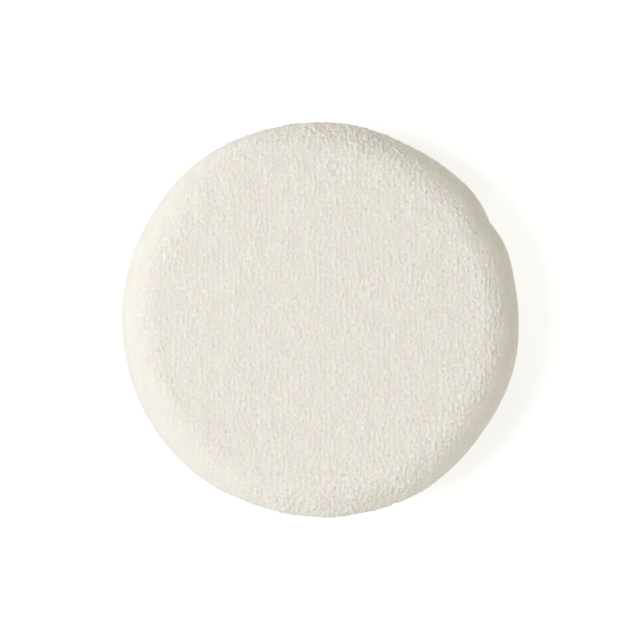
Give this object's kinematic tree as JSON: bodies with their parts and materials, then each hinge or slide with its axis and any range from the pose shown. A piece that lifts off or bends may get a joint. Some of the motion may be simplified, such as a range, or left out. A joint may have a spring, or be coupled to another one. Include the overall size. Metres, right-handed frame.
{
  "type": "powder puff",
  "caption": "Round flat cosmetic powder puff: velour front and back covers sewn round a foam disc, with a satin finger strap across the back for pressing powder onto the face.",
  "frame": {"origin": "centre of the back, on the plane that the puff lies on", "axes": "+Z out of the powdering face, +X along the finger strap"},
  "size_m": [0.0742, 0.075, 0.014],
  "materials": {
    "velour": "ivory cotton knit velour with a short cut pile in fine wales",
    "foam": "soft open-cell foam, cream",
    "satin_ribbon": "ivory woven satin ribbon with soft sheen",
    "cotton_thread": "ivory two-ply sewing thread"
  },
  "bodies": {
    "puff": {"front_cover": "velour", "back_cover": "velour", "foam_core": "foam", "edge_binding_thread": "cotton_thread", "needle_thread": "cotton_thread", "ladder_stitch_thread": "cotton_thread"},
    "strap": {"finger_strap": "satin_ribbon"}
  },
  "joints": [
    {"name": "strap_lift", "type": "slide", "parent": "puff", "child": "strap", "axis": [0, 0, -1], "range_m": [0, 0.012], "stiffness_N_per_m": 8, "springref_m": -0.002, "deforming": ["finger_strap"]}
  ]
}
